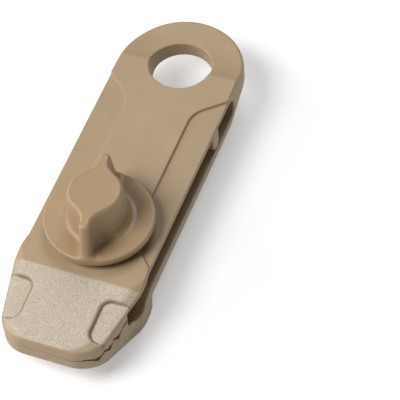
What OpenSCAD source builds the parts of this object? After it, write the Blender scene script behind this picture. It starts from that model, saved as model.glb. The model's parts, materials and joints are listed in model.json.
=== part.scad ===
// Tarp clip: a moulded hairpin clamp with a ring eye, closed by a thumb knob on a screw and a captive nut.
// X runs across the clip, Y from the jaw tips to the ring eye, and Z up through the knob.
// The origin is in the middle of the underside. All sizes are millimetres, and all angles are degrees.

/* [Body] */
// Length from the jaw tips to the end of the ring
body_len = 92; // [88:0.5:110]
// Width of the arms and of the ring
body_w = 28; // [26:0.5:34]
// Height from the underside to the top face of the upper arm
body_h = 12.6; // [12:0.1:15]

/* [Ring eye] */
// Diameter of the hole in the ring
eye_d = 14; // [10:0.5:16]
// Thickness of the ring
ring_t = 4; // [3.4:0.1:5]
// Wall of the boss that carries the hole through the slot
eye_wall = 1.6; // [1.2:0.1:2.4]
// Step from the arm's top face down to the ring's face
ring_drop = 1.8; // [1:0.1:2]
// Length of the slope at that step
ring_ramp = 2.2; // [1:0.1:4]
// Distance from the upper edge of that slope to the ring's centre
ramp_to_eye = 1.1; // [0:0.1:2]
// Length of the slope under the ring
ring_under_ramp = 7.6; // [5:0.1:10]

/* [Arms] */
// Thickness of the upper arm along its middle
upper_t = 1.8; // [1.6:0.1:2.2]
// Depth of the recessed side panels on the upper arm
panel_step = 0.6; // [0.2:0.05:0.8]
// Width of the raised middle panel, which is also the width of the spine underneath
panel_w = 15.2; // [14:0.2:18]
// Distance from the ring's centre to the upper corner of the side panels, at the edge
panel_top = 7.2; // [6:0.2:10]
// Length of the side panels along the edge
panel_len = 46; // [42:0.2:50]
// Length that the upper edge of the side panels slants over
panel_slant = 4.8; // [3:0.1:6]
// Width of the cut corner below that edge
panel_corner_w = 1.3; // [0.6:0.1:2]
// Length of the cut corner below that edge
panel_corner_len = 3.5; // [2:0.1:5]
// Height of the lower arm's side panels above the underside
side_lift = 3.5; // [3:0.1:4]
// Thickness of the lower arm at its root
root_t = 2.1; // [1.8:0.1:2.3]
// How much higher the lower arm's inner face lies at the jaws than at its root
inner_rise = 0.9; // [0.4:0.1:1.2]
// Distance from the ring's centre to the axis that the lower arm turns on
hinge_to_eye = 6.6; // [6:0.1:7.5]
// Thickness of the fulcrum rib under the upper arm
rib_t = 3.4; // [2:0.1:4]
// Distance from the ring's centre to the fulcrum rib
rib_to_eye = 15.2; // [14:0.1:20]

/* [Jaws] */
// Length of the toothed jaw faces, from the tips
jaw_len = 13; // [11:0.5:15]
// Length of the textured pad, from the tips
pad_len = 18; // [16:0.5:20]
// How far the pad slopes down from its upper edge to the tip
pad_drop = 1.2; // [0.6:0.1:1.8]
// Radius of the rounded front edge of the pad
front_r = 1.4; // [0.8:0.1:2]
// Width of the bevel along the sides of the pad
bevel_w = 1.2; // [1:0.1:2.2]
// Plan radius of the corners at the tips
tip_r = 7; // [3:0.5:8]
// How far each side tapers in towards the tips
tip_taper = 1.2; // [0.4:0.1:1.6]
// Length of the flat lips at the front of the jaws
lip_len = 1.4; // [1:0.1:3]
// Thickness of the upper jaw at its tip
upper_tip_t = 2.7; // [2.4:0.1:3.2]
// Thickness of the lower jaw at its tip
lower_tip_t = 2.7; // [2.3:0.1:3.7]
// Length of the flat foot under the lower jaw
foot_len = 6; // [4:0.5:8]
// Distance from the tips to the flat foot
foot_from_tip = 16.9; // [15:0.1:19]
// Length of the slope behind the foot
foot_ramp = 1; // [0.5:0.1:2]
// Spacing of the teeth
tooth_pitch = 3.2; // [3:0.1:6]
// Height of the teeth
tooth_h = 1.6; // [1:0.1:2]
// Gap between the teeth of the closed jaws
jaw_gap = 0.3; // [0.2:0.05:0.5]
// Radius of the round relief behind the lower teeth
relief_r = 3.2; // [2.6:0.1:3.6]
// Distance from the teeth to the relief's edge
relief_gap = 1; // [0.6:0.1:1.6]

/* [Finger recesses] */
// Length of the finger recesses along the clip
recess_len = 10.5; // [8:0.5:11]
// Distance from the tips to the recesses
recess_from_tip = 4.1; // [4:0.1:5.5]
// Distance between the two recesses
recess_apart = 15.4; // [12:0.2:18]
// Depth of the recesses
recess_depth = 0.7; // [0.3:0.05:0.8]
// Radius of their inner corners
recess_r = 2.4; // [1.5:0.1:3.5]

/* [Knob] */
// Distance from the knob's axis to the ring's centre
knob_to_eye = 46.6; // [44:0.1:48]
// Diameter of the round flange
flange_d = 23.8; // [20:0.2:25]
// Height of the flange's rim above the arm
flange_top = 3.4; // [3:0.1:4.4]
// Height of the flange's rim wall
flange_t = 1.9; // [1.8:0.1:2.4]
// Depth of the dish inside the rim
dish_depth = 0.7; // [0.4:0.1:0.9]
// Width of the rim round the dish
rim_w = 0.9; // [0.6:0.1:1.4]
// Height of the knob above the arm
knob_h = 12.4; // [11:0.1:15]
// Diameter of the hub at its top
hub_d = 11.6; // [10.6:0.1:13]
// Diameter of the hub where it meets the dish
hub_base_d = 13.6; // [13:0.1:15]
// Reach of the wings at the top, from the knob's axis
wing_reach = 9.8; // [8:0.1:10.5]
// Width of the wings' ends
wing_tip_w = 1.9; // [1.4:0.1:2.6]
// Width of the wings where they leave the hub
wing_root_w = 5; // [4:0.1:6]
// How far the wings are turned from the clip's length
wing_turn = 8.5; // [0:0.5:30]
// Diameter of the collar under the flange
collar_d = 14; // [12:0.5:18]

/* [Screw and nut] */
// Diameter of the screw
screw_d = 5; // [4.6:0.1:5.2]
// Size of the screw head and of the nut, across the flats
hex_af = 8; // [7.6:0.1:8.4]
// Thickness of the nut
nut_t = 4; // [3.4:0.1:4.4]
// Thickness of the screw's head
head_t = 3.5; // [3:0.1:4]
// Height of the screw's head above the dish
head_lift = 1; // [0.6:0.1:2]
// Thickness of the lower arm above the nut
nut_roof = 1.1; // [0.9:0.05:1.4]
// Height of the screw's end above the underside
screw_end = 0.3; // [0.2:0.1:0.8]

/* [Fits] */
// Radial clearance of what turns or slides
run_gap = 0.05; // [0.02:0.01:0.1]
// Clearance round what is moulded in
mould_gap = 0.02; // [0.01:0.01:0.05]
// Clearance between faces that only come near each other
free_gap = 0.3; // [0.2:0.05:0.4]
// Room for the nut and screw to shift in the lower arm while it swings
swing_room = 0.9; // [0.7:0.05:1.2]

/* [Hidden] */
$fn = 64;
NYLON = "#ab9271";
STEEL = "#b4b6ba";
// Overshoot of cutters past the faces that they cut
over = 1;

// Places along the clip
tip_y = -body_len / 2;
end_y = body_len / 2;
eye_y = end_y - body_w / 2;
knob_y = eye_y - knob_to_eye;
hinge_y = eye_y - hinge_to_eye;
rib_y = eye_y - rib_to_eye;
jaw_y = tip_y + jaw_len;
pad_y = tip_y + pad_len;
panel_top_y = eye_y - panel_top;
foot_y0 = tip_y + foot_from_tip;
foot_y1 = foot_y0 + foot_len;
relief_y = jaw_y + relief_r + relief_gap;

// Heights
parting_h = body_h - pad_drop - upper_tip_t;
tip_lift = parting_h - lower_tip_t;
ring_top = body_h - ring_drop;
ring_bottom = ring_top - ring_t;
slot_top = body_h - upper_t;
inner_root = side_lift + root_t;
inner_jaw = inner_root + inner_rise;
slot_bottom = inner_root + free_gap;
root_r = (slot_top - slot_bottom) / 2;
knuckle_r = root_t / 2;
hinge_z = side_lift + knuckle_r;
relief_z = inner_jaw + relief_r / 2;
arm_top = body_h + run_gap;
flange_z = body_h + flange_top - flange_t;
dish_z = flange_z + flange_t - dish_depth;
knob_top = body_h + knob_h;
head_z = dish_z + head_lift;

pad_angle = atan(pad_drop / pad_len);
spine_end = rib_y;
tooth_n = floor((jaw_len - lip_len) / tooth_pitch);
hex_r = hex_af / 2 / cos(30);

// Height of the lower arm's inner face at a place along the clip
function inner_z(y) = inner_root + inner_rise * (hinge_y - y) / (hinge_y - jaw_y);

nut_top = inner_z(knob_y) - nut_roof;

// Points between the jaws, from the tip along its flat lip and the zigzag to the last tooth's foot
function teeth(lift) = concat(
    [[tip_y, parting_h + lift]],
    [
        for (i = [0 : 2 * tooth_n])
            [tip_y + lip_len + i * tooth_pitch / 2, parting_h + lift - (i % 2) * tooth_h]
    ]
);

// Points of an arc in the YZ plane
function arc(y, z, r, from, to, steps = 8) = [
    for (i = [0 : steps]) let (a = from + (to - from) * i / steps) [y + r * cos(a), z + r * sin(a)]
];

// Points of the ring's own profile, from the arm's top face round the ring to the lower arm's underside
ring_profile = [
    [eye_y - ramp_to_eye, body_h],
    [eye_y - ramp_to_eye + ring_ramp, ring_top],
    [end_y + over, ring_top],
    [end_y + over, ring_bottom],
    [hinge_y + ring_under_ramp, ring_bottom],
    [hinge_y, side_lift]
];

function reversed(list) = [for (i = [len(list) - 1 : -1 : 0]) list[i]];

// A YZ profile made as wide as the given width, centred on X
module across(width) {
    rotate([90, 0, 90]) linear_extrude(width, center = true) children();
}

// A round bar or hole along X
module cross_round(y, z, r, width = body_w + 2 * over) {
    translate([0, y, z]) rotate([0, 90, 0]) cylinder(r = r, h = width, center = true);
}

// Outline of the clip seen from above
module plan() {
    tip_half = body_w / 2 - tip_taper;
    translate([0, eye_y]) circle(d = body_w);
    polygon([
        [-body_w / 2, eye_y], [-body_w / 2, pad_y], [-tip_half, tip_y + tip_r],
        [tip_half, tip_y + tip_r], [body_w / 2, pad_y], [body_w / 2, eye_y]
    ]);
    translate([tip_r - tip_half, tip_y]) square([2 * tip_half - 2 * tip_r, tip_r + over]);
    for (side = [-1, 1])
        translate([side * (tip_half - tip_r), tip_y + tip_r]) circle(r = tip_r);
}

// Upright block of the plan outline
module plan_block() {
    translate([0, 0, -over]) linear_extrude(body_h + 2 * over) plan();
}

// One recessed side panel of the upper arm, open at the right edge
module side_panel() {
    slant_y = panel_top_y - panel_slant;
    end_slant = body_w / 2 - panel_w / 2;
    translate([0, 0, body_h - panel_step])
        linear_extrude(panel_step + over)
            polygon([
                [body_w / 2 + over, panel_top_y + over],
                [panel_w / 2 + panel_corner_w, slant_y],
                [panel_w / 2, slant_y - panel_corner_len],
                [panel_w / 2, panel_top_y - panel_len + end_slant],
                [body_w / 2 + over, panel_top_y - panel_len - over]
            ]);
}

// One finger recess, open at the right edge and sunk square to the sloping pad
module finger_recess() {
    half = recess_apart / 2;
    translate([0, tip_y + recess_from_tip, body_h - pad_drop * (1 - recess_from_tip / pad_len) - recess_depth])
        rotate([pad_angle, 0, 0])
            linear_extrude(recess_depth + 2 * over) {
                translate([half + recess_r, 0]) square([body_w / 2, recess_len]);
                translate([half, recess_r]) square([recess_r + over, recess_len - 2 * recess_r]);
                for (y = [recess_r, recess_len - recess_r])
                    translate([half + recess_r, y]) circle(r = recess_r);
            }
}

// Bevel along the right side of the pad
module pad_bevel() {
    translate([body_w / 2, pad_y - bevel_w, body_h])
        rotate([90 + pad_angle, 0, 0])
            linear_extrude(pad_len)
                polygon([[-bevel_w, 0], [over, -bevel_w - over], [over, over], [-bevel_w, over]]);
}

// Upper arm with its jaw, and the block that joins it to the ring
module upper_arm() {
    front_z = body_h - pad_drop - front_r;
    rib_z = inner_z(rib_y) + free_gap + rib_t / 2;
    difference() {
        intersection() {
            plan_block();
            across(body_w + 2 * over)
                polygon(concat(
                    arc(tip_y + front_r, front_z, front_r, 180, 90),
                    [[pad_y, body_h]],
                    ring_profile,
                    [[hinge_y, slot_top], [jaw_y, slot_top], [jaw_y, parting_h + jaw_gap / 2]],
                    reversed(teeth(jaw_gap / 2))
                ));
        }
        cross_round(hinge_y, (slot_top + slot_bottom) / 2, root_r);
        cross_round(hinge_y, hinge_z, knuckle_r + run_gap);
    }
    // Fulcrum rib, round at its lower end
    translate([-body_w / 2, rib_y - rib_t / 2, rib_z])
        cube([body_w, rib_t, slot_top + upper_t / 4 - rib_z]);
    cross_round(rib_y, rib_z, rib_t / 2, body_w);
}

// Boss that carries the ring's hole down between the arms
module eye_boss() {
    intersection() {
        translate([0, eye_y, 0]) cylinder(d = eye_d + 2 * eye_wall, h = body_h);
        across(body_w)
            polygon(concat(ring_profile, [[eye_y - eye_d, side_lift], [eye_y - eye_d, body_h]]));
    }
}

module upper_jaw() {
    color(NYLON)
        difference() {
            union() {
                upper_arm();
                eye_boss();
            }
            translate([0, eye_y, -over]) cylinder(d = eye_d, h = body_h + 2 * over);
            translate([0, knob_y, slot_top - over]) cylinder(d = screw_d + 2 * run_gap, h = upper_t + 2 * over);
            for (side = [0, 1])
                mirror([side, 0, 0]) {
                    side_panel();
                    finger_recess();
                    pad_bevel();
                }
        }
}

module lower_jaw() {
    color(NYLON)
        difference() {
            union() {
                intersection() {
                    plan_block();
                    across(body_w + 2 * over)
                        polygon(concat(
                            teeth(-jaw_gap / 2),
                            [
                                [jaw_y, parting_h - jaw_gap / 2],
                                [jaw_y, inner_jaw],
                                [hinge_y, inner_root],
                                [hinge_y, side_lift],
                                [foot_y1 + foot_ramp, side_lift],
                                [foot_y1, 0],
                                [foot_y0, 0],
                                [tip_y, tip_lift]
                            ]
                        ));
                }
                // Spine that holds the nut
                across(panel_w)
                    polygon([
                        [foot_y0, 0],
                        [spine_end - side_lift, 0],
                        [spine_end, side_lift],
                        [spine_end, inner_root],
                        [foot_y0, inner_root]
                    ]);
                cross_round(hinge_y, hinge_z, knuckle_r, body_w);
            }
            cross_round(relief_y, relief_z, relief_r);
            // Fork round the eye's boss
            translate([0, eye_y, -over]) cylinder(d = eye_d + 2 * eye_wall + 2 * free_gap, h = body_h);
            // Screw hole, long enough for the swing
            for (shift = [0, -swing_room])
                translate([0, knob_y + shift, -over])
                    cylinder(d = screw_d + 2 * free_gap, h = body_h);
            translate([-screw_d / 2 - free_gap, knob_y - swing_room, -over])
                cube([screw_d + 2 * free_gap, swing_room, body_h]);
            // Nut pocket, open below
            translate([-hex_af / 2 - run_gap, knob_y - hex_r - swing_room, -over])
                cube([hex_af + 2 * run_gap, 2 * hex_r + swing_room + free_gap, nut_top + run_gap + over]);
        }
}

// Upright hexagon with two flats facing the clip's sides
module hexagon(af, h) {
    rotate(30) cylinder(d = af / cos(30), h = h, $fn = 6);
}

// One wing: a blade that narrows from the hub to its end, which slopes out from the top to the rim
module wing() {
    root_y = hub_d / 4;
    foot_y = flange_d / 2 - rim_w;
    low_z = dish_z - dish_depth;
    intersection() {
        translate([0, 0, low_z])
            linear_extrude(knob_top - low_z)
                polygon([
                    [-wing_root_w / 2, root_y], [wing_root_w / 2, root_y],
                    [wing_tip_w / 2, foot_y], [-wing_tip_w / 2, foot_y]
                ]);
        across(wing_root_w + over)
            polygon([[0, low_z], [foot_y, low_z], [foot_y, dish_z], [wing_reach, knob_top], [0, knob_top]]);
    }
}

module knob() {
    color(NYLON)
        translate([0, knob_y, 0])
            difference() {
                union() {
                    translate([0, 0, arm_top]) cylinder(d = collar_d, h = flange_z - arm_top + over);
                    // Flange with its dish
                    difference() {
                        translate([0, 0, flange_z]) cylinder(d = flange_d, h = flange_t);
                        translate([0, 0, dish_z]) cylinder(d = flange_d - 2 * rim_w, h = dish_depth + over);
                    }
                    translate([0, 0, flange_z])
                        cylinder(d1 = hub_base_d, d2 = hub_d, h = knob_top - flange_z);
                    rotate(wing_turn) for (turn = [0, 180]) rotate(turn) wing();
                }
                // Seat of the moulded-in screw
                cylinder(d = screw_d + 2 * mould_gap, h = head_z);
                translate([0, 0, head_z - mould_gap]) hexagon(hex_af + 2 * mould_gap, head_t + 2 * mould_gap);
            }
}

module clamp_screw() {
    color(STEEL)
        translate([0, knob_y, 0]) {
            translate([0, 0, screw_end]) cylinder(d = screw_d, h = head_z - screw_end + over);
            translate([0, 0, head_z]) hexagon(hex_af, head_t);
        }
}

module screw_nut() {
    color(STEEL)
        translate([0, knob_y, nut_top - nut_t])
            difference() {
                hexagon(hex_af, nut_t);
                translate([0, 0, -over]) cylinder(d = screw_d + 2 * run_gap, h = nut_t + 2 * over);
            }
}

upper_jaw();
lower_jaw();
knob();
clamp_screw();
screw_nut();
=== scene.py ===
"""Looks of a moulded tarp clip: a hairpin clamp with a ring eye, closed by a winged thumb screw.

Shapes are written as distance fields in millimetres, negative inside the material. A mesh is drawn on the
zero surface of each field, so that moulded edges and corners have real radii. Materials are made of nodes.
"""
import json
import math

import bmesh
import bpy
import numpy as np
import openvdb
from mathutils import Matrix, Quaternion, Vector


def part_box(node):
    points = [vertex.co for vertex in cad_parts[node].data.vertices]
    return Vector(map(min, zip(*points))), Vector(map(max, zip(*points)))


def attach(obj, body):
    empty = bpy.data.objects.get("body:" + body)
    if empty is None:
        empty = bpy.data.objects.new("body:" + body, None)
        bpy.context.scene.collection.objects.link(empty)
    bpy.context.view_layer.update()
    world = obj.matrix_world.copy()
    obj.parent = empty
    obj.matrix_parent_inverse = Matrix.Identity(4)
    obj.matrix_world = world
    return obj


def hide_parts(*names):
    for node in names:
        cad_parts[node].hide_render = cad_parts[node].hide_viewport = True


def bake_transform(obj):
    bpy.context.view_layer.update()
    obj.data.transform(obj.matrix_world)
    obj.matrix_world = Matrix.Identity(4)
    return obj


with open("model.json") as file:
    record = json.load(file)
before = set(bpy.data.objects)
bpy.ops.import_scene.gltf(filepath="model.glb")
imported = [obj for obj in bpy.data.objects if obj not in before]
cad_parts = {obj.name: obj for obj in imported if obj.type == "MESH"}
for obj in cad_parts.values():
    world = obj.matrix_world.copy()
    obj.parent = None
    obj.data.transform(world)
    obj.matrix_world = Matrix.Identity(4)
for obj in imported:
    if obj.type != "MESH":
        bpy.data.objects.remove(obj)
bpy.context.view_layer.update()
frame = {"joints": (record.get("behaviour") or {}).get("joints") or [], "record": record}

MM = 0.001

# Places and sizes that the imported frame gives, in millimetres
joint_pos = {j["name"]: Vector(j.get("pos_m", (0, 0, 0))) / MM for j in frame["joints"]}
ring_eye = next(m for m in frame["record"]["mounts"] if m["name"] == "ring_eye")
upper_low, upper_high = (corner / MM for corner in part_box("upper_jaw"))
knob_low, knob_high = (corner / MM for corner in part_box("knob"))
screw_low, screw_high = (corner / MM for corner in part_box("clamp_screw"))
nut_low, nut_high = (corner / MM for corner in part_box("screw_nut"))

HALF_W = upper_high.x
TIP_Y = upper_low.y
TOP_Z = upper_high.z
EYE_Y = ring_eye["pos_m"][1] / MM
EYE_R = ring_eye["dims"]["r_mm"]
KNOB_Y = joint_pos["knob_turn"].y
HINGE_Y = joint_pos["jaw_hinge"].y
FLANGE_R = knob_high.x
KNOB_TOP = knob_high.z

# Ring eye
RING_TOP = TOP_Z - 1.8
RING_BOTTOM = RING_TOP - 4
RING_EDGE_R = 0.8
EYE_EDGE_R = 0.45
EYE_WALL = 1.6
STEP_Y = EYE_Y - 1.1
STEP_RUN = 4.6
STEP_FOOT_R = 1.7
STEP_EDGE_R = 0.2
RING_RAMP = 7.6

# Arms
SIDE_BOTTOM = 3.5
EDGE_R = 0.35
EDGE_RUN = 6.0
SLOT_TOP = TOP_Z - 1.8
SLOT_EDGE_R = 0.25
SLOT_ROOT_Z = 5.6
SLOT_RISE = 0.9
ROOT_R = 2.45
SEAM_Y = EYE_Y - EYE_R - EYE_WALL - 0.4
SEAM_LAP = 1.0
PANEL_STEP = 0.6
PANEL_X = 7.6
PANEL_EDGE_R = 0.3
PANEL_FOOT_R = 0.2
PANEL_CORNER_R = 1.8
PANEL_SIDES = ((7.6, 19.5, 14.0, 25.0), (14.0, -21.8, 7.6, -15.4))
RIB_Y = 16.8
RIB_R = 1.7
RIB_GAP = 0.3

# Jaws
PAD_Y = -28.0
PAD_DROP = 1.2
PAD_EDGE_R = 0.06
BEVEL_Y = (TIP_Y, PAD_Y, -24.0)
BEVEL_W = (1.9, 2.2, 0.0)
BEVEL_FRONT = 0.4
BEVEL_FALL = 0.42
BEVEL_EDGE_R = 0.25
TIP_EDGE_R = 0.7
TIP_TAPER = 2.2
TIP_CORNER_R = 5.4
PAD_FLARE = 0.35
FLARE_Y = (-25.0, -22.5)
JAW_Y = -33.0
JAW_GAP = 0.45
LIP_GAP = 0.1
JAW_BACK_R = 0.5
PARTING_Z = 8.7
LIP_LEN = 1.4
TOOTH_PITCH = 3.2
TOOTH_H = 1.6
TOOTH_BLUNT = 0.85
TEETH = 3
TIP_BOTTOM = 5.6
FOOT_Y = (-29.8, -23.1)
FOOT_RAMP = 1.0
SPINE_HALF = 7.6
SPINE_END = RIB_Y
UNDER_R = 0.5
RELIEF_Y = -28.8
RELIEF_Z = 8.1
RELIEF_R = 3.2

# Finger recesses
RECESS_X = 7.7
RECESS_Y = (-41.9, -31.4)
RECESS_DEPTH = 0.7
RECESS_CORNER_R = 2.4
RECESS_WALL = 0.4
RECESS_EDGE_R = 0.55
RECESS_FOOT_R = 0.1

# Knob
COLLAR_R = 7.0
FLANGE_Z = TOP_Z + 1.5
RIM_TOP = TOP_Z + 3.4
RIM_W = 0.9
RIM_R = 0.55
DISH_DEPTH = 0.4
DISH_RUN = 1.8
DISH_FOOT_R = 1.0
HUB_R = 5.8
HUB_BASE_R = 6.4
HUB_FOOT_R = 1.8
WING_TURN = math.radians(8.5)
WING_REACH = 9.9
WING_HALF = 1.12
WING_ROOT_HALF = 1.16
WING_FLARE = 0.015
WING_NECK_R = 2.2
WING_END_R = 1.0
KNOB_EDGE_R = 0.75

# Where grain and the painted shade line round the recesses fade, in millimetres
# Names that end in UP go by the vertical part of the normal
GRAIN_FADE = 0.2
PAD_GRAIN_UP = (0.86, 0.96)
PANEL_GRAIN_UP = (0.9, 0.98)
PANEL_GRAIN_Z = 0.15
PANEL_GRAIN_RUN = 2.0
RECESS_SHADE_INSET = 0.25
RECESS_SHADE_FADE = (0.35, 0.15)
RECESS_SHADE_UP = (0.97, 0.87)

# Screw and nut
SCREW_R = 2.5
SCREW_HOLE_R = 2.55
THREAD_PITCH = 0.8
THREAD_DEPTH = 0.45
THREAD_FLANK = 1.3
THREAD_CREST = 0.15
THREAD_SLOPE = 0.8
HEX_HALF = 4.0
HEX_CHAMFER = 0.35
HEX_SLOPE = (0.5, 0.87)
HEAD_Z = screw_high.z - 3.5
HEAD_LAP = 1.0
NUT_GAP = 0.05
NUT_ROOM_BACK = 0.9
NUT_ROOM_FRONT = 0.3
SWING_GAP = 0.3

# Steps of the grids that the meshes are drawn on
JAW_STEP = 0.28
KNOB_STEP = 0.2
STEEL_STEP = 0.11


# Fields

def both(a, b, r=0.0):
    """Overlap of two fields, with the outer edge between them rounded to a radius."""
    outside = np.hypot(np.maximum(a + r, 0), np.maximum(b + r, 0))
    return np.minimum(np.maximum(a, b), -r) + outside


def either(a, b, r=0.0):
    """Union of two fields, with the inner corner between them filled to a radius."""
    return -both(-a, -b, r)


def without(a, b, r=0.0):
    """The first field with the second cut out of it, and the cut's edge rounded to a radius."""
    return both(a, -b, r)


def slope(u, v, u0, v0, u1, v1):
    """Distance from the line through two points, positive on the left of the way along it."""
    du, dv = u1 - u0, v1 - v0
    return (du * (v - v0) - dv * (u - u0)) / math.hypot(du, dv)


def slot_floor(y):
    """Height of the lower arm's inner face."""
    return SLOT_ROOT_Z + SLOT_RISE * (HINGE_Y - y) / (HINGE_Y - JAW_Y)


def sides(x, y):
    """Distance out from the long sides: round the ring, flared at the pad and drawn in to the tip."""
    half = HALF_W + np.interp(y, FLARE_Y, [PAD_FLARE, 0])
    straight = np.hypot(x, np.maximum(y - EYE_Y, 0)) - half
    drawn_in = slope(np.abs(x), y, HALF_W + PAD_FLARE, PAD_Y, HALF_W - TIP_TAPER, TIP_Y + TIP_CORNER_R)
    return np.maximum(straight, drawn_in)


def plan(x, y):
    """Outline of the moulding, seen from above."""
    return both(sides(x, y), TIP_Y - y, TIP_CORNER_R)


def pad_face(y, z):
    """The sloping top of the pad."""
    return slope(y, z, TIP_Y, TOP_Z - PAD_DROP, PAD_Y, TOP_Z)


def parting(y):
    """Height of the line where the jaws meet, along the zigzag of the teeth."""
    first = TIP_Y + LIP_LEN
    tops = first + TOOTH_PITCH * np.arange(TEETH + 1)
    points = np.sort(np.concatenate([tops, tops[:-1] + TOOTH_PITCH / 2]))
    heights = PARTING_Z - TOOTH_H * (np.arange(2 * TEETH + 1) % 2)
    return np.interp(y, points, heights)


def jaw_gap(y):
    """Width of the line between the jaws, which is finer at the lips than along the teeth."""
    return np.interp(y, [TIP_Y + LIP_LEN / 2, TIP_Y + LIP_LEN], [LIP_GAP, JAW_GAP])


def rib(y, z):
    """The fulcrum rib under the upper arm, round at its lower end."""
    round_z = slot_floor(RIB_Y) + RIB_GAP + RIB_R
    return np.hypot(y - RIB_Y, np.minimum(z - round_z, 0)) - RIB_R


def slot(x, y, z):
    """The space between the arms, behind the jaws and in front of the ring."""
    gap = np.maximum(z - SLOT_TOP, slot_floor(y) - z)
    gap = both(gap, y - HINGE_Y - ROOT_R, ROOT_R)
    gap = both(gap, JAW_Y - y, JAW_BACK_R)
    eye_boss = np.hypot(x, y - EYE_Y) - EYE_R - EYE_WALL
    return without(np.maximum(gap, -rib(y, z)), eye_boss)


def underside(x, y, z):
    """The moulding's lower faces: ring, arm, spine, foot and the jaw's rising front."""
    tip_slope = -slope(y, z, TIP_Y, TIP_BOTTOM, FOOT_Y[0], 0)
    foot_back = -slope(y, z, FOOT_Y[1], 0, FOOT_Y[1] + FOOT_RAMP, SIDE_BOTTOM)
    spine_back = -slope(y, z, SPINE_END - SIDE_BOTTOM, 0, SPINE_END, SIDE_BOTTOM)
    spine = both(spine_back, np.abs(x) - SPINE_HALF, UNDER_R)
    stand = both(-z, np.minimum(foot_back, spine), UNDER_R)
    arm = either(SIDE_BOTTOM - z, stand, UNDER_R)
    ring_ramp = -slope(y, z, HINGE_Y, SIDE_BOTTOM, HINGE_Y + RING_RAMP, RING_BOTTOM)
    ring = either(RING_BOTTOM - z, ring_ramp, UNDER_R)
    return both(both(arm, ring, UNDER_R), tip_slope, UNDER_R)


def topside(y, z):
    """The moulding's upper faces: pad, arm, the slope at the ring and the ring."""
    arm = both(z - TOP_Z, pad_face(y, z), PAD_EDGE_R)
    arm = both(arm, slope(y, z, STEP_Y, TOP_Z, STEP_Y + STEP_RUN, RING_TOP), STEP_EDGE_R)
    return either(arm, z - RING_TOP, STEP_FOOT_R)


def recess_plan(x, y):
    """Outline of the finger recesses, open at the sides."""
    along = np.maximum(RECESS_Y[0] - y, y - RECESS_Y[1])
    return both(RECESS_X - np.abs(x), along, RECESS_CORNER_R)


def moulding(x, y, z):
    """The whole hairpin: both arms, the ring, the pad and its finger recesses."""
    places = (TIP_Y, PAD_Y, EYE_Y - EDGE_RUN, EYE_Y)
    edge_r = np.interp(y, places, (TIP_EDGE_R, EDGE_R, EDGE_R, RING_EDGE_R))
    pad = pad_face(y, z)
    top = topside(y, z)
    bevel_w = np.interp(y, BEVEL_Y, BEVEL_W)
    inset = both(sides(x, y) + bevel_w, TIP_Y + BEVEL_FRONT - y, TIP_CORNER_R)
    bevel = BEVEL_FALL * inset + np.maximum(pad, z - TOP_Z)
    top = both(top, bevel / math.hypot(1, BEVEL_FALL), BEVEL_EDGE_R * bevel_w / max(BEVEL_W))
    solid = both(plan(x, y), both(top, underside(x, y, z)), edge_r)
    run = RECESS_WALL / RECESS_DEPTH
    recess = both((recess_plan(x, y) - run * pad) / math.hypot(1, run), -RECESS_DEPTH - pad, RECESS_FOOT_R)
    solid = without(solid, recess, RECESS_EDGE_R)
    panel = PANEL_X - np.abs(x)
    for line in PANEL_SIDES:
        panel = both(panel, slope(np.abs(x), y, *line), PANEL_CORNER_R)
    solid = without(solid, both(panel, TOP_Z - PANEL_STEP - z, PANEL_FOOT_R), PANEL_EDGE_R)
    return without(solid, slot(x, y, z), SLOT_EDGE_R)


def upper_jaw(x, y, z):
    """Upper arm with its jaw, the fulcrum rib, and the ring with the root of the lower arm."""
    teeth = np.maximum(parting(y), PARTING_Z - TOOTH_H + TOOTH_BLUNT)
    above = teeth + jaw_gap(y) / 2 - z
    kept = np.minimum(np.minimum(above, rib(y, z) - RIB_GAP / 2), SEAM_Y - SEAM_LAP - y)
    solid = both(moulding(x, y, z), kept)
    solid = without(solid, np.hypot(x, y - EYE_Y) - EYE_R, EYE_EDGE_R)
    return without(solid, np.hypot(x, y - KNOB_Y) - SCREW_HOLE_R, EDGE_R)


def lower_jaw(x, y, z):
    """Lower arm with its jaw, the screw's long hole and the nut's pocket."""
    kept = both(z - parting(y) + jaw_gap(y) / 2, y - SEAM_Y - SEAM_LAP)
    solid = both(moulding(x, y, z), np.maximum(kept, RIB_GAP / 2 - rib(y, z)))
    solid = without(solid, np.hypot(y - RELIEF_Y, z - RELIEF_Z) - RELIEF_R, SLOT_EDGE_R)
    hole_y = np.clip(y, KNOB_Y - NUT_ROOM_BACK, KNOB_Y)
    solid = without(solid, np.hypot(x, y - hole_y) - SCREW_R - SWING_GAP, EDGE_R)
    pocket = np.maximum(np.abs(x) - HEX_HALF - SWING_GAP / 2, z - nut_high.z - SWING_GAP / 2)
    pocket = np.maximum(pocket, nut_low.y - NUT_ROOM_BACK - y)
    pocket = np.maximum(pocket, y - nut_high.y - NUT_ROOM_FRONT)
    return without(solid, pocket, EDGE_R)


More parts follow.
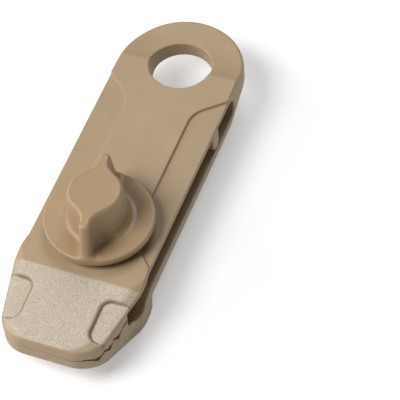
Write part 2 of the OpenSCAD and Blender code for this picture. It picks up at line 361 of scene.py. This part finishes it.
def knob(x, y, z):
    """Winged knob on a dished flange with a collar below."""
    y = y - KNOB_Y
    along = np.abs(y * math.cos(WING_TURN) - x * math.sin(WING_TURN))
    across = np.abs(x * math.cos(WING_TURN) + y * math.sin(WING_TURN))
    radius = np.hypot(x, y)
    depth = KNOB_TOP - z
    hub = slope(radius, z, HUB_R, KNOB_TOP, HUB_BASE_R, RIM_TOP)
    taper = (WING_ROOT_HALF - WING_HALF) / (WING_REACH - HUB_R)
    half = WING_HALF + taper * (WING_REACH - along) + WING_FLARE * depth
    end = slope(along, z, WING_REACH, KNOB_TOP, FLANGE_R - RIM_W / 4, RIM_TOP)
    wings = both(across - half, end, WING_END_R)
    grip = both(either(hub, wings, WING_NECK_R), z - KNOB_TOP, KNOB_EDGE_R)
    rim_in = FLANGE_R - RIM_W
    wall = -slope(radius, z, rim_in - DISH_RUN, RIM_TOP - DISH_DEPTH, rim_in, RIM_TOP)
    dish = both(wall, RIM_TOP - DISH_DEPTH - z, DISH_FOOT_R)
    top = either(without(z - RIM_TOP, dish, RIM_R), grip, HUB_FOOT_R)
    flange = both(radius - FLANGE_R, FLANGE_Z - z, RIM_R)
    foot = either(flange, np.maximum(radius - COLLAR_R, knob_low.z - z), EDGE_R)
    return both(top, foot, RIM_R)


def thread(x, y, z):
    """Depth below the crest of a screw thread round the knob's axis."""
    turn = np.arctan2(y - KNOB_Y, x) / (2 * math.pi)
    phase = np.abs((z / THREAD_PITCH - turn) % 1.0 - 0.5) * 2
    return THREAD_DEPTH * np.clip(phase * THREAD_FLANK - THREAD_CREST, 0, 1)


def hexagon(x, y, half):
    """Distance from a hexagon with two flats facing the clip's sides."""
    y = np.abs(y - KNOB_Y)
    return np.maximum(np.abs(x), np.abs(x) / 2 + y * math.sqrt(3) / 2) - half


def hex_block(x, y, z, low, high):
    """Hexagon with the corners turned down at both ends."""
    radius = np.hypot(x, y - KNOB_Y)
    block = np.maximum(hexagon(x, y, HEX_HALF), np.maximum(low - z, z - high))
    out, up = HEX_SLOPE
    end = np.maximum(low + HEX_CHAMFER - z, z - high + HEX_CHAMFER)
    return np.maximum(block, (radius - HEX_HALF - HEX_CHAMFER) * out + end * up)


def clamp_screw(x, y, z):
    """Threaded screw with a chamfered end, and its head inside the knob."""
    radius = np.hypot(x, y - KNOB_Y)
    shank = (radius - SCREW_R + thread(x, y, z)) * THREAD_SLOPE
    end = (radius - SCREW_R + THREAD_DEPTH + screw_low.z + THREAD_DEPTH - z) * math.sqrt(0.5)
    shank = np.maximum(np.maximum(shank, end), np.maximum(screw_low.z - z, z - HEAD_Z - HEAD_LAP))
    return np.minimum(shank, hex_block(x, y, z, HEAD_Z, screw_high.z))


def screw_nut(x, y, z):
    """Hexagon nut with a threaded hole."""
    radius = np.hypot(x, y - KNOB_Y)
    hole = (radius - SCREW_R - NUT_GAP + thread(x, y, z)) * THREAD_SLOPE
    mouth = np.maximum(nut_low.z + HEX_CHAMFER - z, z - nut_high.z + HEX_CHAMFER)
    hole = np.minimum(hole, radius - SCREW_R - mouth)
    return np.maximum(hex_block(x, y, z, nut_low.z, nut_high.z), -hole)


# Meshes

def gradient(field, points, step=0.02):
    """Gradient of a field at points, by central differences."""
    columns = []
    for axis in np.eye(3) * step:
        columns.append((field(*(points + axis).T) - field(*(points - axis).T)) / (2 * step))
    return np.stack(columns, axis=1)


def surface(field, low, high, step):
    """Points and faces on the zero surface of a field, inside a box."""
    low = np.array(low) - 2 * step
    counts = np.ceil((np.array(high) + 2 * step - low) / step).astype(int) + 1
    axes = [low[i] + step * np.arange(counts[i]) for i in range(3)]
    values = field(*np.meshgrid(*axes, indexing="ij", sparse=True))
    grid = openvdb.FloatGrid(4 * step)
    grid.copyFromArray(np.ascontiguousarray(np.broadcast_to(values, counts), dtype=np.float32))
    points, triangles, quads = grid.convertToPolygons(isovalue=0, adaptivity=0)
    points = points.astype(float) * step + low
    for _ in range(3):
        slopes = gradient(field, points)
        length2 = np.maximum((slopes ** 2).sum(axis=1), 0.1)
        move = np.clip(field(*points.T) / length2, -step / 2, step / 2)
        points -= move[:, None] * slopes
    return points, [tuple(f) for f in triangles] + [tuple(f) for f in quads]


def piece(name, field, low, high, step, seam=None):
    """A mesh object on the zero surface of a field, cut at the seam if one is given."""
    points, faces = surface(field, low, high, step)
    mesh = bpy.data.meshes.new(name)
    mesh.from_pydata(points, [], faces)
    if seam:
        cut_at_seam(mesh, seam)
    mesh.validate()
    shade(mesh, field)
    mesh.transform(((MM, 0, 0, 0), (0, MM, 0, 0), (0, 0, MM, 0), (0, 0, 0, 1)))
    made = bpy.data.objects.new(name, mesh)
    bpy.context.scene.collection.objects.link(made)
    return made


def cut_at_seam(mesh, keep):
    """Cuts the lower arm's root square at the seam and closes the cut. keep is the side that stays."""
    shape = bmesh.new()
    shape.from_mesh(mesh)
    centres = [(f, f.calc_center_median()) for f in shape.faces]
    near = [f for f, c in centres if c.z < PARTING_Z and c.y > SEAM_Y - 2 * SEAM_LAP]
    parts = set(near) | {e for f in near for e in f.edges} | {v for f in near for v in f.verts}
    cut = bmesh.ops.bisect_plane(
        shape, geom=list(parts), plane_co=(0, SEAM_Y, 0), plane_no=(0, -keep, 0), clear_outer=True)
    edges = [g for g in cut["geom_cut"] if isinstance(g, bmesh.types.BMEdge)]
    bmesh.ops.holes_fill(shape, edges=edges)
    shape.to_mesh(mesh)
    shape.free()


def shade(mesh, field):
    """Smooth shading, with each normal taken from the field."""
    points = np.array([v.co for v in mesh.vertices])
    normals = gradient(field, points)
    normals /= np.maximum(np.linalg.norm(normals, axis=1), 1e-6)[:, None]
    mesh.shade_smooth()
    mesh.normals_split_custom_set_from_vertices(normals.tolist())


def add_mask(made, name, mask, field):
    """Stores a value for each point of a mesh, for its material to read."""
    points = np.array([v.co for v in made.data.vertices]) / MM
    slopes = gradient(field, points)
    up = slopes[:, 2] / np.maximum(np.linalg.norm(slopes, axis=1), 1e-6)
    values = np.clip(mask(*points.T, up), 0, 1)
    made.data.attributes.new(name, "FLOAT", "POINT").data.foreach_set("value", values.astype(np.float32))


def ramp(value, start, end):
    """Place of a value on a scale that is 0 at the start and 1 at the end."""
    return (value - start) / (end - start)


def pad_grain(x, y, z, up):
    """Sand grain on the pad, its recesses and, fainter, its bevel. up is the normal's vertical part."""
    return np.minimum(ramp(up, *PAD_GRAIN_UP), ramp(y, PAD_Y + GRAIN_FADE, PAD_Y - GRAIN_FADE))


def painted_recess_shade(x, y, z, up):
    """Painted shade: a darker line round the finger recesses, standing in for the shade on their walls."""
    off_line = np.abs(recess_plan(x, y) + RECESS_SHADE_INSET)
    return np.minimum(ramp(off_line, *RECESS_SHADE_FADE), ramp(up, *RECESS_SHADE_UP))


def panel_grain(x, y, z, up):
    """Fine grain on the lowered panels beside the raised middle of the arm."""
    off_panel = np.abs(z - TOP_Z + PANEL_STEP)
    level = np.minimum(ramp(up, *PANEL_GRAIN_UP), ramp(off_panel, PANEL_GRAIN_Z, 0))
    return np.minimum(level, ramp(y, PAD_Y, PAD_Y + PANEL_GRAIN_RUN))


# Materials

TAN = (0.425, 0.307, 0.183)
KNOB_TAN = (0.410, 0.277, 0.153)
PAD_LOW = (0.43, 0.355, 0.26)
PAD_HIGH = (0.66, 0.58, 0.475)
ZINC_DARK = (0.52, 0.53, 0.55)
ZINC_LIGHT = (0.66, 0.67, 0.68)
FLOOR_WHITE = (0.72, 0.72, 0.72)
FLOOR_GLOW = 0.37
SKY_LIGHT = 0.06


class Nodes:
    """A material with short calls for adding and joining its nodes."""

    def __init__(self, name):
        self.material = bpy.data.materials.new(name)
        self.material.use_nodes = True
        self.tree = self.material.node_tree
        self.shader = self.tree.nodes["Principled BSDF"]

    def put(self, socket, value):
        """Joins another node's output to a socket, or sets the socket to a plain value."""
        if isinstance(value, bpy.types.NodeSocket):
            self.tree.links.new(value, socket)
        else:
            socket.default_value = value

    def add(self, kind, inputs=None, **settings):
        """A new node with its settings and inputs."""
        node = self.tree.nodes.new(kind)
        for key, value in settings.items():
            setattr(node, key, value)
        for key, value in (inputs or {}).items():
            self.put(node.inputs[key], value)
        return node

    def noise(self, size_mm, detail=2.0, rough=0.5):
        """Noise whose features are about the given size, in the part's own coordinates."""
        place = self.add("ShaderNodeTexCoord").outputs["Object"]
        return self.add("ShaderNodeTexNoise", {
            "Vector": place, "Scale": 1 / (size_mm * MM), "Detail": detail, "Roughness": rough,
        }).outputs["Fac"]

    def mask(self, name):
        """A value that add_mask stored on the mesh, or 0 on a mesh without it."""
        return self.add("ShaderNodeAttribute", attribute_name=name).outputs["Fac"]

    def spread(self, value, low, high, to_low, to_high):
        """A value carried over from one range to another."""
        return self.add("ShaderNodeMapRange", {
            "Value": value, "From Min": low, "From Max": high, "To Min": to_low, "To Max": to_high,
        }).outputs["Result"]

    def math(self, operation, a, b):
        """One sum of two values."""
        return self.add("ShaderNodeMath", {0: a, 1: b}, operation=operation).outputs[0]

    def mix(self, share, a, b):
        """A blend of two colours, with the second one's share."""
        node = self.add("ShaderNodeMix", {0: share, 6: a, 7: b}, data_type="RGBA")
        return node.outputs[2]

    def bump(self, height, distance_mm, strength=1.0):
        """The normal that a height gives a surface."""
        return self.add("ShaderNodeBump", {
            "Height": height, "Distance": distance_mm * MM, "Strength": strength,
        }).outputs["Normal"]

    def feed(self, **sockets):
        """Gives the main shader its inputs, named with _ in place of each space."""
        for key, value in sockets.items():
            self.put(self.shader.inputs[key.replace("_", " ")], value)


def tone(colour, factor=1.0):
    """A colour made darker or lighter, as a shader's socket takes it."""
    return [c * factor for c in colour] + [1]


def nylon(name, colour, rough, grained):
    """Moulded nylon. A grained one reads the masks panel_grain, pad_grain and painted_recess_shade of its
    mesh, the last for painted shade.
    """
    nodes = Nodes(name)
    dull = tone(colour, 0.88)
    flow = nodes.spread(nodes.noise(9.0, 3.0), 0.35, 0.65, 0.0, 1.0)
    base = nodes.mix(flow, tone(colour, 0.96), tone(colour, 1.04))
    fine = nodes.noise(0.22, 3.0, 0.6)
    base = nodes.mix(nodes.spread(fine, 0.3, 0.7, 0.0, 0.3), base, dull)
    height = nodes.math("MULTIPLY", fine, 0.35)
    if grained:
        pits = nodes.spread(nodes.noise(0.4, 2.0), 0.4, 0.62, 0.0, 1.0)
        pits = nodes.math("MULTIPLY", nodes.math("MULTIPLY", pits, nodes.mask("panel_grain")), 0.6)
        base = nodes.mix(pits, base, dull)
        height = nodes.math("SUBTRACT", height, pits)
        pad = nodes.mask("pad_grain")
        peaks = nodes.spread(nodes.noise(0.2, 2.0), 0.4, 0.6, 0.0, 1.0)
        base = nodes.mix(pad, base, nodes.mix(peaks, tone(PAD_LOW), tone(PAD_HIGH)))
        height = nodes.math("ADD", height, nodes.math("MULTIPLY", peaks, pad))
        # Painted shade: the line round the finger recesses is darkened towards half the colour
        line = nodes.math("MULTIPLY", nodes.mask("painted_recess_shade"), 0.7)
        base = nodes.mix(line, base, tone(colour, 0.5))
    nodes.feed(Base_Color=base, Normal=nodes.bump(height, 0.05, 0.6))
    nodes.feed(Roughness=nodes.spread(nodes.noise(1.6, 3.0), 0.3, 0.7, rough - 0.05, rough + 0.05))
    return nodes.material


def zinc_steel(name):
    """Zinc-plated steel with fine turning marks."""
    nodes = Nodes(name)
    cloud = nodes.spread(nodes.noise(1.2, 4.0), 0.3, 0.7, 0.0, 1.0)
    nodes.feed(
        Base_Color=nodes.mix(cloud, tone(ZINC_DARK), tone(ZINC_LIGHT)),
        Roughness=nodes.spread(cloud, 0.0, 1.0, 0.42, 0.3),
        Normal=nodes.bump(nodes.noise(0.12, 3.0), 0.01, 0.4),
    )
    nodes.feed(Metallic=1.0)
    return nodes.material


body_nylon = nylon("body_nylon", TAN, rough=0.48, grained=True)
knob_nylon = nylon("knob_nylon", KNOB_TAN, rough=0.37, grained=False)
steel = zinc_steel("zinc_steel")


# Pieces

def dress(made, node, body, material):
    """Gives a piece its material, hides the imported part for the node that it stands for and, when a body
    is given, hangs it from that body.
    """
    made.data.materials.append(material)
    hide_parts(node)
    if body:
        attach(made, body)
    return made


upper = piece("upper_jaw_moulding", upper_jaw, upper_low, upper_high, JAW_STEP, seam=1)
add_mask(upper, "pad_grain", pad_grain, upper_jaw)
add_mask(upper, "panel_grain", panel_grain, upper_jaw)
add_mask(upper, "painted_recess_shade", painted_recess_shade, upper_jaw)
dress(upper, "upper_jaw", "upper", body_nylon)

lower_high = (HALF_W, SEAM_Y + 2 * SEAM_LAP, PARTING_Z)
lower = piece("lower_jaw_moulding", lower_jaw, (-HALF_W, TIP_Y, 0), lower_high, JAW_STEP, seam=-1)
dress(lower, "lower_jaw", None, body_nylon)
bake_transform(lower)

grip = piece("thumb_knob", knob, knob_low, knob_high, KNOB_STEP)
dress(grip, "knob", "thumb_screw", knob_nylon)

screw = piece("threaded_screw", clamp_screw, screw_low, screw_high, STEEL_STEP)
dress(screw, "clamp_screw", "thumb_screw", steel)

nut = piece("hex_nut", screw_nut, nut_low, nut_high, STEEL_STEP)
dress(nut, "screw_nut", "nut", steel)


# Floor, light and camera

def white_floor():
    """A white floor that shows pure white to the camera, apart from the clip's shadow."""
    half = 3.0
    corners = [(-half, -half, 0), (half, -half, 0), (half, half, 0), (-half, half, 0)]
    mesh = bpy.data.meshes.new("floor")
    mesh.from_pydata(corners, [], [(0, 1, 2, 3)])
    floor = bpy.data.objects.new("floor", mesh)
    bpy.context.scene.collection.objects.link(floor)
    nodes = Nodes("white_floor")
    path = nodes.add("ShaderNodeLightPath").outputs
    seen = nodes.math("MAXIMUM", path["Is Camera Ray"], path["Is Glossy Ray"])
    seen = nodes.math("MAXIMUM", seen, path["Is Transmission Ray"])
    nodes.feed(Base_Color=tone(FLOOR_WHITE), Roughness=0.9, Specular_IOR_Level=0.0)
    nodes.feed(Emission_Color=(1, 1, 1, 1), Emission_Strength=nodes.math("MULTIPLY", seen, FLOOR_GLOW))
    mesh.materials.append(nodes.material)


def area_light(name, place, target, size, power):
    """A round lamp that faces a target."""
    lamp = bpy.data.lights.new(name, "AREA")
    lamp.shape = "DISK"
    lamp.size = size
    lamp.energy = power
    made = bpy.data.objects.new(name, lamp)
    made.location = place
    made.rotation_mode = "QUATERNION"
    made.rotation_quaternion = (Vector(target) - Vector(place)).to_track_quat("-Z", "Y")
    bpy.context.scene.collection.objects.link(made)


def camera(target, azimuth, elevation, roll, distance, lens):
    """Camera that looks at a target, with azimuth 0 looking along +Y."""
    a, e = math.radians(azimuth), math.radians(elevation)
    back = Vector((math.sin(a) * math.cos(e), -math.cos(a) * math.cos(e), math.sin(e)))
    data = bpy.data.cameras.new("camera")
    data.sensor_width = 36.0
    data.lens = lens
    data.clip_start = 0.01
    made = bpy.data.objects.new("camera", data)
    made.location = Vector(target) + back * distance
    made.rotation_mode = "QUATERNION"
    made.rotation_quaternion = (-back).to_track_quat("-Z", "Y") @ Quaternion((0, 0, 1), math.radians(roll))
    bpy.context.scene.collection.objects.link(made)
    bpy.context.scene.camera = made


white_floor()
middle = (0, 0, TOP_Z * MM)
area_light("key", (-0.30, -0.31, 0.61), middle, 0.4, 4.1)
area_light("left_fill", (-0.62, -0.15, 0.33), middle, 0.4, 2.0)
area_light("right_fill", (0.6, -0.1, 0.14), middle, 0.6, 0.6)
area_light("back_fill", (0.0, 0.45, 0.6), middle, 0.4, 1.6)
camera(target=(0.01752, -0.00165, 0.012), azimuth=26.62, elevation=53.37, roll=-7.0,
       distance=0.494, lens=209)

world = bpy.data.worlds.new("studio")
bpy.context.scene.world = world
world.use_nodes = True
sky = world.node_tree.nodes["Background"].inputs
sky["Color"].default_value = (1, 1, 1, 1)
sky["Strength"].default_value = SKY_LIGHT
bpy.context.scene.view_settings.view_transform = "Standard"
